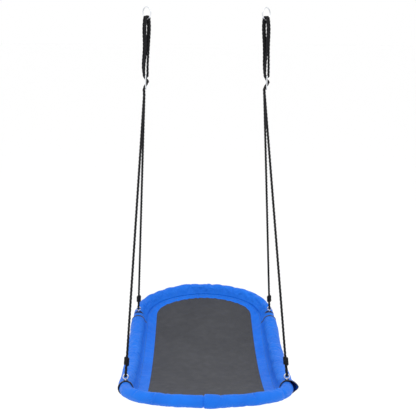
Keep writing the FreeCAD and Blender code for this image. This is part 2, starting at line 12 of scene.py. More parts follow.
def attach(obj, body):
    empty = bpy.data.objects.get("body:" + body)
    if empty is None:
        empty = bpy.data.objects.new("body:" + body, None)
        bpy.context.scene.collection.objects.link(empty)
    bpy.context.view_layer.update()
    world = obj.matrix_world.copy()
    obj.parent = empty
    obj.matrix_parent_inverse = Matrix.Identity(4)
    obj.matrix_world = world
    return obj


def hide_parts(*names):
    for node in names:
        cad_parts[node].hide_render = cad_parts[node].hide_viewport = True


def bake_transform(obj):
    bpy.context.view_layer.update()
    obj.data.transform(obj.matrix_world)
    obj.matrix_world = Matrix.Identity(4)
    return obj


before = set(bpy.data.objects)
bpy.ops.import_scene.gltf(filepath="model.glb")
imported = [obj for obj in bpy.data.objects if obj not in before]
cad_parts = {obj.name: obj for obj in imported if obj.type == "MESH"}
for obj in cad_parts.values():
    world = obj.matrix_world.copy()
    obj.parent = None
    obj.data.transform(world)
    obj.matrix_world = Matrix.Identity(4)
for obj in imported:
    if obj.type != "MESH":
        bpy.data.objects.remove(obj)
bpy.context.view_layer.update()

link = bpy.context.scene.collection.objects.link
SIDES = {"left": -1, "right": 1}
ENDS = {"front": -1, "back": 1}
TURN = 2 * pi

# ---------- the frame's dimensions

HALF_WIDTH = 0.368  # to the middle of a side tube
EYE_STATION = 0.455  # an eye's distance to the front or back of the middle
TILT = radians(14.0)  # of the two ends, which rise outwards
CORNER_RADIUS = 0.252
END_RADIUS = 0.470
BASE_Z = -1.745  # the side tubes' lowest point
SIDE_RADIUS = EYE_STATION / sin(TILT)
SIDE_HALF = SIDE_RADIUS * TILT
RISE = SIDE_RADIUS * (1 - cos(TILT))
CORNER_TURN = acos((HALF_WIDTH - CORNER_RADIUS) / (END_RADIUS - CORNER_RADIUS))
CORNER_LENGTH = CORNER_RADIUS * CORNER_TURN
END_CENTRE = -(END_RADIUS - CORNER_RADIUS) * sin(CORNER_TURN)
END_HALF = END_RADIUS * (pi / 2 - CORNER_TURN)
ROPE = 0.0107  # its diameter
ROPE_RADIUS = ROPE / 2
EYE_T = END_HALF + CORNER_LENGTH  # an eye's distance round the rim from the middle of its end

# ---------- camera

CAMERA_PLACE = (-0.0594, -3.8687, -0.0398)
CAMERA_TURNS = (13.29, -1.047, 0.304)  # degrees: down, to the left, and about its own axis
SENSOR, LENS = 36.0, 70.1048  # millimetres


def place_camera():
    """Looks at the swing from its front, from the height of its hooks."""
    pitch, yaw, roll = (radians(turn) for turn in CAMERA_TURNS)
    right, ahead, up = (Matrix.Rotation(yaw, 3, "Z") @ Matrix.Rotation(-pitch, 3, "X")).col
    across = right * cos(roll) + up * sin(roll)
    upright = up * cos(roll) - right * sin(roll)
    data = bpy.data.cameras.new("camera")
    data.sensor_width, data.lens, data.clip_end = SENSOR, LENS, 100
    camera = bpy.data.objects.new("camera", data)
    axes = Matrix((across, upright, -ahead)).transposed()
    camera.matrix_world = Matrix.Translation(CAMERA_PLACE) @ axes.to_4x4()
    link(camera)
    bpy.context.scene.camera = camera


place_camera()

# ---------- meshes


def smooth(x):
    """Rises from 0 to 1 as x does, levelling off at both."""
    x = min(1.0, max(0.0, x))
    return x * x * (3 - 2 * x)


def wrapped(angle):
    """The same angle between half a turn back and half a turn on."""
    return (angle + pi) % TURN - pi


def shade_smooth(mesh):
    """Shades every face of a mesh as part of a curved surface."""
    mesh.polygons.foreach_set("use_smooth", [True] * len(mesh.polygons))


def mesh_object(name, verts, faces, material=None, uvs=None):
    """A new mesh object; uvs holds one (u, v) per face corner."""
    mesh = bpy.data.meshes.new(name)
    mesh.from_pydata([tuple(v) for v in verts], [], faces)
    if uvs is not None:
        layer = mesh.uv_layers.new(name="UVMap")
        layer.data.foreach_set("uv", np.asarray(uvs, np.float32).ravel())
    shade_smooth(mesh)
    mesh.update()
    made = bpy.data.objects.new(name, mesh)
    link(made)
    if material:
        mesh.materials.append(material)
    return made


def grid_faces(rows, columns, closed_rows=False, closed_columns=False):
    """Quads of a grid of rows x columns vertices, row by row, with their grid corners."""
    faces, corners = [], []
    for i in range(rows if closed_rows else rows - 1):
        for j in range(columns if closed_columns else columns - 1):
            a, b = i, (i + 1) % rows
            c, d = j, (j + 1) % columns
            faces.append((a * columns + c, a * columns + d, b * columns + d, b * columns + c))
            corners.append(((i, j), (i, j + 1), (i + 1, j + 1), (i + 1, j)))
    return faces, corners


def outwards(rows, faces, corners):
    """The faces and their corners, turned so that they face away from the tube's inside."""
    verts = np.asarray(rows).reshape(-1, 3)
    quads = np.array(faces)
    middle = verts.mean(0)
    volume = 0.0
    for a, b, c in ((0, 1, 2), (0, 2, 3)):
        p, q, r = (verts[quads[:, k]] - middle for k in (a, b, c))
        volume += np.einsum("ij,ij->i", p, np.cross(q, r)).sum()
    if volume < 0:
        faces, corners = [f[::-1] for f in faces], [c[::-1] for c in corners]
    return faces, corners


def sweep(points, section, closed=False, normal=None):
    """Places section(i), rows of (across, up), square to a path. Returns vertices as rows."""
    points = np.asarray(points, float)
    count = len(points)
    if closed:
        tangent = np.roll(points, -1, 0) - np.roll(points, 1, 0)
    else:
        tangent = np.gradient(points, axis=0)
    tangent /= norm(tangent, axis=1)[:, None]
    rows = []
    up = None
    for i in range(count):
        t = tangent[i]
        if normal is not None:
            up = np.asarray(normal[i], float)
        elif up is None:
            up = np.cross(t, [1.0, 0.3, 0.2])
        up = up - t * (up @ t)
        up /= norm(up)
        across = np.cross(t, up)
        shape = section(i)
        rows.append(points[i] + shape[:, :1] * across + shape[:, 1:] * up)
    return np.array(rows)


def tube_object(name, rows, material, lengths, around, closed=False, capped=True):
    """A tube from rows of section points, with UVs in metres: around it and along it."""
    count, columns = rows.shape[:2]
    faces, corners = grid_faces(count, columns, closed, True)
    turned, corners = outwards(rows, faces, corners)
    order = 1 if turned is faces else -1
    step = np.append(lengths, lengths[-1] + (lengths[-1] - lengths[-2]))
    uvs = [(j * around / columns, step[i]) for quad in corners for i, j in quad]
    faces = list(turned)
    verts = list(rows.reshape(-1, 3))
    if capped and not closed:
        for row, facing in ((0, -order), (count - 1, order)):
            centre = rows[row].mean(0)
            verts.append(centre)
            tip = len(verts) - 1
            for j in range(columns):
                a, b = row * columns + j, row * columns + (j + 1) % columns
                faces.append((a, b, tip) if facing > 0 else (b, a, tip))
                uvs += [(0, 0), (0.001, 0), (0, 0.001)]
    return mesh_object(name, verts, faces, material, uvs)

# ---------- rope routes

RING_SPACING = 0.555
LEAN = 0.008  # each adjuster hangs this far outside its ring
RING_LEVEL = -0.0407  # the corners of the rope's route over the ring


def at_ring(side, across, off, level):
    """A point in the axes of a side's ring, which is turned 45 degrees."""
    turn = radians(45.0 * side)
    lean = LEAN * (RING_LEVEL - level) / (RING_LEVEL - PLATE_LEVEL)
    return (
        side * (RING_SPACING / 2 + lean) + across * cos(turn) - off * sin(turn),
        across * sin(turn) + off * cos(turn),
        level,
    )


def at_plate(side, across, off, level):
    """A point in the axes of a side's adjuster, whose bars run from front to back."""
    return (side * (RING_SPACING / 2 + LEAN) - off, across, level)


def read_route(points):
    """The smooth line of a NURBS spline that has these control points."""
    curve = bpy.data.curves.new("route", "CURVE")
    curve.dimensions = "3D"
    curve.resolution_u = 24
    spline = curve.splines.new("NURBS")
    spline.points.add(len(points) - 1)
    for point, place in zip(spline.points, points):
        point.co = (*place, 1.0)
    spline.order_u = 3
    spline.use_endpoint_u = True
    holder = bpy.data.objects.new("route", curve)
    link(holder)
    bpy.context.view_layer.update()
    mesh = bpy.data.meshes.new_from_object(holder)
    line = np.array([tuple(v.co) for v in mesh.vertices])
    bpy.data.objects.remove(holder)
    bpy.data.curves.remove(curve)
    bpy.data.meshes.remove(mesh)
    return line


def evenly(line, step):
    """The same line with points a constant distance apart, as near to a step as goes into it."""
    gaps = norm(np.diff(line, axis=0), axis=1)
    line = line[np.append(True, gaps > 1e-7)]
    along = np.append(0, np.cumsum(norm(np.diff(line, axis=0), axis=1)))
    stops = np.linspace(0, along[-1], int(round(along[-1] / step)) + 1)
    return np.stack([np.interp(stops, along, values) for values in line.T], 1)


PLATE_PITCH = 0.032  # between the adjuster's bars, whose middle one is at PLATE_LEVEL
PLATE_LEVEL = -0.341
WEAVE_OFF, WEAVE_ACROSS = 0.0084, 0.012
CUT = PLATE_LEVEL + PLATE_PITCH + 0.010  # the upper rope ends and the legs begin here


def top_route(side):
    """Over the ring, round the adjuster's top bar and over the ring again."""

    def loop(across):
        half = [(0.0085, -0.185), (0.015, -0.095), (0.01164, -0.0602), (0.00975, RING_LEVEL)]
        up = [at_ring(side, across, -off, level) for off, level in half]
        return up + [at_ring(side, across, off, level) for off, level in half[::-1]]

    def bight(off):
        out = 0.006 if off > 0 else 0.0
        places = ((off + out, -0.265), (off + out * 0.32, -0.3006), (off, -0.3174))
        return [at_plate(side, 0, *place) for place in places]

    def leg_top(across):
        return [at_plate(side, across, WEAVE_OFF, level) for level in (CUT, -0.265)]

    return (
        leg_top(-WEAVE_ACROSS) + loop(-side * 0.006) + bight(side * WEAVE_OFF)
        + bight(-side * WEAVE_OFF)[::-1] + loop(side * 0.006) + leg_top(WEAVE_ACROSS)[::-1]
    )


LEG_TURN = PLATE_LEVEL - PLATE_PITCH - 0.024  # where a leg turns to its eye


def leg_places(side, end):
    """An eye's top rod, the direction up the leg, and the square direction to the seat's end."""
    last = Vector(at_plate(side, end * WEAVE_ACROSS, WEAVE_OFF, LEG_TURN))
    up_axis = Vector((0, -end * sin(TILT), cos(TILT)))
    foot = Vector((side * HALF_WIDTH, end * EYE_STATION, BASE_Z + RISE))
    rod = foot + up_axis * 0.061
    up = (last - rod).normalized()
    outwards = up.cross(Vector((1, 0, 0))).normalized() * end
    return rod, up, outwards, last


def leg_route(side, end):
    """Past the adjuster's three bars, down through the knot, round the eye and up to the knot."""
    across, off = end * WEAVE_ACROSS, WEAVE_OFF
    half, rise = PLATE_PITCH / 2, 0.01361
    upper, lower = PLATE_LEVEL + half, PLATE_LEVEL - half
    rod, up, outwards, last = leg_places(side, end)
    clear = 1.3 * off  # the spline cuts inside these corners, and stays clear of the bars
    local = [
        (off, CUT), (clear, upper + rise), (-off, upper - rise), (-off, lower + rise),
        (clear, lower - rise),
    ]
    points = [Vector(at_plate(side, across, *p)) for p in local]
    standing, tail = rod - outwards * 0.004, rod + outwards * 0.007
    bend = standing + up * 0.031
    down = (bend - last).normalized()
    inner, outer = rod - outwards * 0.0101 - up * 0.0087, rod + outwards * 0.0091 - up * 0.0087
    points += [
        last, last + down * 0.027, bend - down * 0.040, bend,
        inner + (bend - inner).normalized() * 0.019, inner,
        outer, outer + (tail + up * 0.0347 - outer).normalized() * 0.019, tail + up * 0.0347,
    ]
    return [tuple(p) for p in points]


ROPE_STEP = 0.0026
ROPE_LAY = 0.054  # in this length a strand goes once round the rope
CROWN_RADIUS = 1.12 * ROPE_RADIUS  # over the strands, whose grooves lie inside the rope's radius
LOBES, SECTION = 3, 30  # strands, and points round them


def rope_section(radius, turn):
    """The outline of three strands laid together, turned by an angle."""
    angles = np.arange(SECTION) * TURN / SECTION
    inside = (angles - turn + pi / LOBES) % (TURN / LOBES) - pi / LOBES
    offset, strand = 0.46 * radius, 0.54 * radius
    reach = offset * np.cos(inside) + np.sqrt(strand**2 - (offset * np.sin(inside)) ** 2)
    return np.stack([reach * np.cos(angles), reach * np.sin(angles)], 1)


def laid_rope(points):
    """Rows of section points of a laid rope along evenly spaced points."""
    turn = TURN * ROPE_STEP / ROPE_LAY
    return sweep(points, lambda i: rope_section(CROWN_RADIUS, turn * i))


MATERIALS = {}
for key in ("rope", "zinc", "fastener", "tube", "foam", "blue", "grey", "binding", "thread"):
    MATERIALS[key] = bpy.data.materials.new(key)
    MATERIALS[key].use_nodes = True

SADDLE_CUT = -0.100  # the rope's lengths over the ring end at this level
cords = {}  # name -> (object, points, length)


def rope_piece(name, rows, points, start=0):
    """One length of a rope, from a station of its route on."""
    lengths = (start + np.arange(len(points))) * ROPE_STEP
    made = tube_object(name, rows, MATERIALS["rope"], lengths, TURN * ROPE_RADIUS)
    cords[name] = (made, points, (len(points) - 1) * ROPE_STEP)


for side_name, side in SIDES.items():
    for end_name, end in ENDS.items():
        points = evenly(read_route(leg_route(side, end)), ROPE_STEP)
        rope_piece(f"rope_leg_{end_name}_{side_name}.laid", laid_rope(points), points)
    points = evenly(read_route(top_route(side)), ROPE_STEP)
    rows = laid_rope(points)
    low = points[:, 2] < SADDLE_CUT
    cuts = [0] + [i for i in range(1, len(low)) if low[i] != low[i - 1]] + [len(points) - 1]
    kinds = ("strand_front", "saddle_front", "bight", "saddle_back", "strand_back")
    for kind, start, stop in zip(kinds, cuts[:-1], cuts[1:]):
        span = slice(start, stop + 1)
        rope_piece(f"rope_{kind}_{side_name}", rows[span], points[span], start)

# ---------- knots

WRAPS = 4.0
WRAP_RADIUS = 0.0088
WRAP_HALVES = np.array([0.0058, 0.0042])  # half a wrap's width and thickness
WRAP_LAY = 0.040
WRAP_AROUND = 0.031
FIRST_WRAP, LAST_WRAP = 0.0414, 0.0760  # up the leg from the eye's rod
KNOT_STATIONS = 150
KNOT_END = 0.07  # share of the rope over which each end goes in under the wraps


def knot_rows(side, end):
    """A rope wound four times round the leg, drawn tight so that its wraps are pressed flat."""
    rod, up, outwards, _ = leg_places(side, end)
    middle = rod + outwards * 0.0015
    sideways = up.cross(outwards).normalized()
    points, normals, lengths = [], [], []
    for share in np.linspace(0, 1, KNOT_STATIONS):
        turn = TURN * WRAPS * share
        reach = WRAP_RADIUS * (0.62 + 0.38 * smooth(min(share, 1 - share) / KNOT_END))
        spoke = outwards * cos(turn) + sideways * sin(turn)
        points.append(middle + spoke * reach + up * (FIRST_WRAP + (LAST_WRAP - FIRST_WRAP) * share))
        normals.append(spoke)
        lengths.append(turn * WRAP_RADIUS)

    def section(i):
        return rope_section(1.0, TURN * lengths[i] / WRAP_LAY) * WRAP_HALVES

    return sweep(points, section, normal=normals), lengths


knots = {}
for side_name, side in SIDES.items():
    for end_name, end in ENDS.items():
        rows, lengths = knot_rows(side, end)
        name = f"knot_{end_name}_{side_name}.wraps"
        knots[name] = tube_object(name, rows, MATERIALS["rope"], lengths, WRAP_AROUND)

# ---------- the rim and the cover


def rising(side, end, across, along, above=0.0):
    """A point over the plane that rises towards one end, from the eyes' station outwards."""
    return np.array([
        side * across,
        end * (EYE_STATION + along * cos(TILT) - above * sin(TILT)),
        BASE_Z + RISE + along * sin(TILT) + above * cos(TILT),
    ])


def rim(end, t):
    """The tubes' centre line by distance from the middle of one end, positive towards +X.

    Returns the point, the direction out of the seat and the direction up, both square to the tube.
    """
    side = 1.0 if t >= 0 else -1.0
    past = abs(t)
    if past > EYE_T:
        turn = end * (SIDE_HALF - (past - EYE_T)) / SIDE_RADIUS
        level = BASE_Z + SIDE_RADIUS * (1 - cos(turn))
        place = np.array([side * HALF_WIDTH, SIDE_RADIUS * sin(turn), level])
        return place, np.array([side, 0, 0]), np.array([0, -sin(turn), cos(turn)])
    if past <= END_HALF:
        turn = pi / 2 - past / END_RADIUS
        across, along = END_RADIUS * cos(turn), END_CENTRE + END_RADIUS * sin(turn)
    else:
        turn = CORNER_TURN - (past - END_HALF) / CORNER_RADIUS
        across = HALF_WIDTH - CORNER_RADIUS + CORNER_RADIUS * cos(turn)
        along = CORNER_RADIUS * sin(turn)
    over, out_up = end * sin(turn) * cos(TILT), sin(turn) * sin(TILT)
    out = np.array([side * cos(turn), over, out_up])
    up = np.array([0, -end * sin(TILT), cos(TILT)])
    return rising(side, end, across, along), out, up


def side_rim(side, s):
    """The same by distance along one side from its middle, positive towards the back."""
    end = 1 if s >= 0 else -1
    return rim(end, side * (EYE_T + SIDE_HALF - abs(s)))


SEAM_IN, SEAM_DOWN = 0.0457, 0.0114  # where a cover is sewn to the deck, from the tube's middle
SEAM_REACH = hypot(SEAM_IN, SEAM_DOWN)
SEAM_FALL = atan2(SEAM_DOWN, SEAM_IN)
SEAM_ANGLE = pi + SEAM_FALL
SEAM_SLOPE = radians(45)  # of the cloth where it crosses the seam
LEAST_SPARE = 0.0004  # below this the side is drawn straight


def drop_shape(angle, radius):
    """A round section drawn out to the seam, by angle from the outside over the top.

    Above the seam its side is hollow, so that it runs on into the deck; below it is straight.
    """
    away = wrapped(SEAM_ANGLE - angle)
    lean, lift = sin(SEAM_SLOPE), cos(SEAM_SLOPE)
    spare = radius - SEAM_IN * lean + SEAM_DOWN * lift  # 0 where a hollow side would be straight
    if away < 0 or spare < LEAST_SPARE:
        tangent = acos(min(1.0, radius / SEAM_REACH))
        return radius / cos(tangent - abs(away)) if abs(away) < tangent else radius
    hollow = (SEAM_REACH**2 - radius**2) / (2 * spare)
    inwards, above = SEAM_IN + hollow * lean, hollow * lift - SEAM_DOWN
    turn = away - SEAM_FALL - atan2(above, inwards)
    if turn > 0:
        return radius
    far = hypot(inwards, above)
    return far * cos(turn) - sqrt(hollow**2 - (far * sin(turn)) ** 2)


def cover_rows(stations, columns, radius_at, place_at):
    """Grid of a cover, whose column 0 is its seam. radius_at and place_at take (station, angle)."""
    rows = np.zeros((len(stations), columns, 3))
    for i, station in enumerate(stations):
        for j in range(columns):
            angle = SEAM_ANGLE + TURN * j / columns
            place, out, up = place_at(station, angle)
            reach = drop_shape(angle, radius_at(station, angle))
            rows[i, j] = place + reach * (cos(angle) * out + sin(angle) * up)
    return rows


FLAP_AT = 0.24  # where a front hem stands out most, which is a little above the outside
FLAP_ABOVE, FLAP_BELOW = 0.78, 0.44  # how wide the flap is on each side of its point, in radians
# How far a front hem reaches past its eye, how much further it reaches at its flap, and its flare.
FLARE = {"left": (0.010, 0.010, -0.003), "right": (0.012, 0.030, 0.016)}
SIDE_COVER, END_COVER = 0.0376, 0.0276  # the covers' radii
EYE_COVER = 0.0290  # an end cover's radius at the eyes
FRONT_DRAWN_IN, BACK_DRAWN_IN = 0.0050, 0.0022  # how much less a side cover's radius is at its hems
HEM_T = EYE_T + 0.058  # where an end cover's hems are, under the side covers
END_SEAM_T = -0.017  # the front end cover's two halves are sewn together here
DIMPLES = (  # of the front end cover: distance round the rim, angle, length, width, depth
    (-0.235, 0.85, 0.0048, 0.45, 0.0060), (0.200, 1.15, 0.0048, 0.42, 0.0060),
    (0.360, 0.60, 0.0045, 0.50, 0.0060), (0.335, 1.45, 0.0080, 0.45, 0.0050),
    (-0.330, 1.0, 0.0055, 0.60, 0.0044), (0.060, 1.3, 0.0070, 0.40, 0.0036),
)


def flap(angle):
    """1 at the point of a front hem's flap, and 0 far from there."""
    past = wrapped(angle - FLAP_AT)
    return exp(-abs(past / (FLAP_ABOVE if past > 0 else FLAP_BELOW)) ** 1.35)


def side_cover(side_name, side):
    """Side sleeve: long padded tube, drawn in at its hems, whose front hem gapes on the outside."""
    over, outer, flare = FLARE[side_name]
    front, back = SIDE_HALF + 0.004, SIDE_HALF - 0.046
    stations = np.linspace(-front, back, 176)

    def place_at(s, angle):
        near_front = smooth((-s - SIDE_HALF + 0.085) / 0.085)
        return side_rim(side, s - near_front * (over + outer * flap(angle)))

    def radius_at(s, angle):
        near_front = smooth((-s - SIDE_HALF + 0.075) / 0.075)
        near_back = smooth((s - back + 0.05) / 0.05)
        radius = SIDE_COVER + 0.0008 * sin(s * 23.0 + side)
        radius += near_front * (flare * flap(angle) - FRONT_DRAWN_IN * (1 - flap(angle)))
        return radius - near_back * BACK_DRAWN_IN

    return stations, cover_rows(stations, 44, radius_at, place_at)


def end_cover(end):
    """End sleeve: a slimmer padded tube round one end, uneven where it is gathered."""
    stations = np.linspace(-HEM_T, HEM_T, 300)

    def radius_at(t, angle):
        radius = END_COVER + 0.0006 * sin(t * 31.0) + 0.0005 * sin(t * 57.0 + 1.0)
        near_eye = smooth(1 - abs(abs(t) - EYE_T) / 0.06)
        radius += (EYE_COVER - radius) * near_eye
        if end > 0:
            return radius + (1 - near_eye) * 0.0012 * sin(t * 88.0 + 0.6 * sin(t * 23.0))
        past = t - END_SEAM_T
        radius += 0.0026 * smooth(past / 0.004) * (1 - smooth(past / 0.11))
        radius -= 0.0058 * exp(-((past / 0.0032) ** 2))
        for where, facing, length, width, depth in DIMPLES:
            beside = wrapped(angle - facing)
            radius -= depth * exp(-(((t - where) / length) ** 2) - (beside / width) ** 2)
        return radius

    return stations, cover_rows(stations, 36, radius_at, lambda t, angle: rim(end, t))


FRAMES = 20
CLOTH = {
    "quality": 6, "mass": 0.25, "tension_stiffness": 18, "compression_stiffness": 18,
    "shear_stiffness": 6, "bending_stiffness": 0.35, "use_pressure": True,
    "uniform_pressure_force": 4.0, "vertex_group_mass": "held",
}


def simulate(rows, held, grow):
    """How far each vertex moves when the cover is blown up as cloth that is too long for its seams.

    held is each vertex's pinning from 0 to 1, and grow is the share of its length that is too much.
    """
    count, columns = rows.shape[:2]
    faces, _ = outwards(rows, *grid_faces(count, columns, False, True))
    start = rows.reshape(-1, 3)
    piece = mesh_object("simulated", start, faces)
    group = piece.vertex_groups.new(name="held")
    for index, weight in enumerate(np.asarray(held).ravel()):
        if weight > 0:
            group.add([index], float(weight), "REPLACE")
    cloth = piece.modifiers.new("Cloth", "CLOTH")
    for key, value in CLOTH.items():
        setattr(cloth.settings, key, value)
    cloth.settings.shrink_min = -grow
    cloth.settings.effector_weights.gravity = 0
    cloth.collision_settings.use_collision = False
    cloth.point_cache.frame_start, cloth.point_cache.frame_end = 1, FRAMES
    scene = bpy.context.scene
    for number in range(1, FRAMES + 1):
        scene.frame_set(number)
    shown = piece.evaluated_get(bpy.context.evaluated_depsgraph_get())
    moved = np.array([tuple(v.co) for v in shown.data.vertices])
    bpy.data.objects.remove(piece)
    scene.frame_set(1)
    return (moved - start).reshape(rows.shape)


def blurred(field, along, round_it):
    """A box blur, done twice: over rows beyond whose ends it goes on, and round the columns."""
    for _ in range(2):
        longer = np.pad(field, ((along, along), (0, 0), (0, 0)), mode="edge")
        sums = np.cumsum(np.concatenate([np.zeros((1,) + field.shape[1:]), longer]), axis=0)
        field = (sums[2 * along + 1:] - sums[:-2 * along - 1]) / (2 * along + 1)
        turned = [np.roll(field, k, axis=1) for k in range(-round_it, round_it + 1)]
        field = sum(turned) / len(turned)
    return field


def wrinkled(rows, centres, loose, held, grow, gain, foam):
    """The cover with the simulated cloth's puckers, lying on its foam or standing off it.

    The puckers are what is left of the movement without its broad part. loose is 0 where the
    cover may not move.
    """
    shift = simulate(rows, held, grow)
    shift -= blurred(shift, along=8, round_it=5)
    moved = rows + shift * (gain * loose)[:, :, None]
    spoke = moved - centres[:, None, :]
    reach = norm(spoke, axis=2)
    least, soft_edge = foam + 0.0014, 0.0007
    over = np.minimum((reach - least) / soft_edge, 30.0)
    lifted = least + soft_edge * np.log1p(np.exp(over))
    wanted = np.where(over < 29.0, lifted, reach)
    ratio = 1 + (wanted / reach - 1) * np.minimum(1.0, loose * 4)
    return centres[:, None, :] + spoke * ratio[:, :, None]


noise.seed_set(7)  # noise_vector's offsets are drawn from the clock without this


def rough(rows, size, scale, seed):
    """Small uneven moves, so that the cloth doesn't buckle evenly."""
    moved = rows.copy()
    for i in range(rows.shape[0]):
        for j in range(1, rows.shape[1]):
            place = Vector(rows[i, j]) * scale + Vector((seed, 0, 0))
            moved[i, j] += np.array(noise.noise_vector(place)) * size
    return moved


def apply_modifiers(piece):
    """Makes the evaluated mesh the piece's own mesh."""
    shown = piece.evaluated_get(bpy.context.evaluated_depsgraph_get())
    mesh = bpy.data.meshes.new_from_object(shown)
    old = piece.data
    piece.modifiers.clear()
    piece.data = mesh
    bpy.data.meshes.remove(old)
    mesh.name = piece.name


def thicken(piece, thickness):
    """Gives a sheet its thickness, on its inner side."""
    shell = piece.modifiers.new("Thickness", "SOLIDIFY")
    shell.thickness, shell.offset = thickness, -1.0
    apply_modifiers(piece)
    shade_smooth(piece.data)


LEAST_LEVEL = 0.012  # over the tube's middle, of the cloth that an eye's opening may take away


def open_hole(piece, foot, axis, across, along, half_across, half_along):
    """Takes away the cloth over an eye and draws the opening's edge to an oval."""
    edit = bmesh.new()
    edit.from_mesh(piece.data)
    gone = []
    for vert in edit.verts:
        off = vert.co - foot
        if off.dot(axis) < LEAST_LEVEL:
            continue
        reach = hypot(off.dot(across) / half_across, off.dot(along) / half_along)
        if reach < 0.80:
            gone.append(vert)
        elif reach < 1.05:
            flat = across * off.dot(across) + along * off.dot(along)
            vert.co += flat * (1 / reach - 1)
    bmesh.ops.delete(edit, geom=gone, context="VERTS")
    bmesh.ops.delete(edit, geom=[v for v in edit.verts if not v.link_faces], context="VERTS")
    edit.to_mesh(piece.data)
    edit.free()

# ---------- soft pieces

SIDE_FOAM, END_FOAM = 0.0335, 0.0208  # the foam sleeves' radii
COVER_THICKNESS = 0.0011
HEM_WIDTH, HEM_THICKNESS = 0.0095, 0.0030  # of the tape folded over a hem
HEM_POINTS, EYE_POINTS = 132, 72
EYE_HOLE = {"front": (0.0150, 0.0110), "back": (0.0225, 0.0052)}  # half its size, across and along
soft = {}  # name -> (object, CAD nodes that it stands for)


def cover_object(name, rows, around, length, holes):
    """A cover, smooth but for its seam, open round its eyes, and with its thickness."""
    count, columns = rows.shape[:2]
    lengths = np.linspace(0, length, count)
    made = tube_object(name, rows, MATERIALS["blue"], lengths, around, capped=False)
    sharp = made.data.attributes.new("crease_edge", "FLOAT", "EDGE")
    for edge in made.data.edges:
        if all(v % columns == 0 for v in edge.vertices):
            sharp.data[edge.index].value = 1.0  # the seam
    made.modifiers.new("Subdivision", "SUBSURF").levels = 1
    apply_modifiers(made)
    for hole in holes:
        open_hole(made, *hole)
    thicken(made, COVER_THICKNESS)
    return made


def eye_frame(side, end):
    """An eye's foot on the tube's centre line, its axis, and the directions across and along."""
    foot = Vector(rising(side, end, HALF_WIDTH, 0.0))
    axis = Vector((0, -end * sin(TILT), cos(TILT)))
    return foot, axis, Vector((1, 0, 0)), Vector((0, cos(TILT), end * sin(TILT)))


def strip_section(width, thickness):
    """A flat tape's outline with rounded edges, as (across, up)."""
    angles = np.arange(12) * TURN / 12
    x, y = np.cos(angles), np.sin(angles)
    across, up = np.copysign(abs(x) ** 0.3, x), np.copysign(abs(y) ** 0.7, y)
    return np.stack([across * width / 2, up * thickness / 2], 1)


def closed_ring(points, count):
    """A smooth closed ring of points through the given ones (Catmull-Rom)."""
    along = np.arange(count) * len(points) / count
    first = along.astype(int)
    f = (along - first)[:, None]
    p0, p1, p2, p3 = (points[(first + d) % len(points)] for d in (-1, 0, 1, 2))
    return 0.5 * (
        2 * p1 + (p2 - p0) * f + (2 * p0 - 5 * p1 + 4 * p2 - p3) * f * f
        + (3 * p1 - p0 - 3 * p2 + p3) * f**3
    )


def hem_binding(name, edge, inside):
    """Tape folded over a cover's edge: edge and inside are rings of points of the cover."""
    centre = edge.mean(0)
    edge, inside = closed_ring(edge, HEM_POINTS), closed_ring(inside, HEM_POINTS)
    back = inside - edge
    back /= norm(back, axis=1)[:, None]
    out = edge - centre
    out -= back * (out * back).sum(1)[:, None]
    out /= norm(out, axis=1)[:, None]
    middle = edge + back * (HEM_WIDTH / 2 - 0.0012) - out * 0.0004
    section = strip_section(HEM_WIDTH, HEM_THICKNESS)
    rows = middle[:, None] + section[:, :1] * back[:, None] + section[:, 1:] * out[:, None]
    lengths = np.arange(HEM_POINTS) * 0.0019
    return tube_object(name, rows, MATERIALS["binding"], lengths, 2 * HEM_WIDTH, closed=True)


def eye_binding(name, side, end, half_across, half_along):
    """Tape round an end cover's opening for an eye, bent over the cover's round top."""
    foot, axis, across, along = eye_frame(side, end)
    points, normals = [], []
    for k in range(EYE_POINTS):
        a = TURN * k / EYE_POINTS
        u, v = half_across * cos(a), half_along * sin(a)
        level = sqrt(EYE_COVER**2 - u**2) + 0.0002
        points.append(foot + across * u + along * v + axis * level)
        normals.append(across * u + axis * level)
    section = strip_section(0.0032, 0.0022)
    ring = sweep(points, lambda i: section, closed=True, normal=normals)
    lengths = np.arange(EYE_POINTS) * 0.0016
    return tube_object(name, ring, MATERIALS["binding"], lengths, 0.012, closed=True)


def seam_free(columns):
    """0 at a cover's seam, which is its first column, and 1 further round."""
    return np.array([smooth(min(j, columns - j) / 5) for j in range(columns)])


for side_name, side in SIDES.items():
    stations, rows = side_cover(side_name, side)
    held, loose = np.zeros((2, *rows.shape[:2]))
    for i, s in enumerate(stations):
        from_hem = min(s - stations[0], stations[-1] - s)
        loose[i] = (0.1 + 0.9 * smooth(from_hem / 0.07)) * seam_free(rows.shape[1])
        if from_hem < 0.012:
            held[i] = 0.8  # by the tape
    held[:, 0] = 1.0
    rows = rough(rows, size=0.0006, scale=40.0, seed=3.0 + side)
    centres = np.array([side_rim(side, s)[0] for s in stations])
    rows = wrinkled(rows, centres, loose, held, grow=0.035, gain=0.75, foam=SIDE_FOAM)
    name = f"side_cover_{side_name}"
    holes = [(*eye_frame(side, -1), 0.0105, 0.0105)]
    made = cover_object(name, rows, around=0.245, length=0.90, holes=holes)
    soft[name] = (made, [f"side_sleeve_{side_name}"])
    for hem, edge, inside in (("front", 0, 2), ("back", -1, -3)):
        name = f"hem_{hem}_{side_name}"
        nodes = [f"hem_bindings_{side_name}"] if hem == "front" else []
        soft[name] = (hem_binding(name, rows[edge], rows[inside]), nodes)

